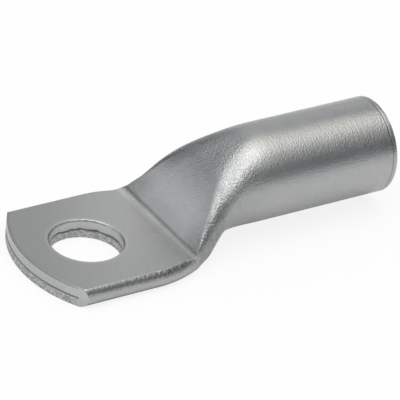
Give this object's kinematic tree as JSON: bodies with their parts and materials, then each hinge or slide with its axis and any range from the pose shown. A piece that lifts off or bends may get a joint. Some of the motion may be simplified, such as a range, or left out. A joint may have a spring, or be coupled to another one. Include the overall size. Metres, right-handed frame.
{
  "type": "cable lug",
  "caption": "Tube cable lug: the round barrel takes a stranded conductor and is crimped on it, and the flat palm has a hole for the terminal's bolt.",
  "frame": {"origin": "on the bolt hole's axis, at the palm's underside, which is the face that meets the busbar or terminal", "axes": "+X runs along the barrel to its open mouth, +Z is square to the palm towards the side that the barrel stands up on, and +Y completes the right-handed frame"},
  "size_m": [0.0578, 0.0228, 0.0149],
  "materials": {
    "tinned_copper": "satin electro-tinned surface with a fine mottled grain"
  },
  "bodies": {
    "root": {"cable_lug": "tinned_copper"}
  },
  "joints": []
}
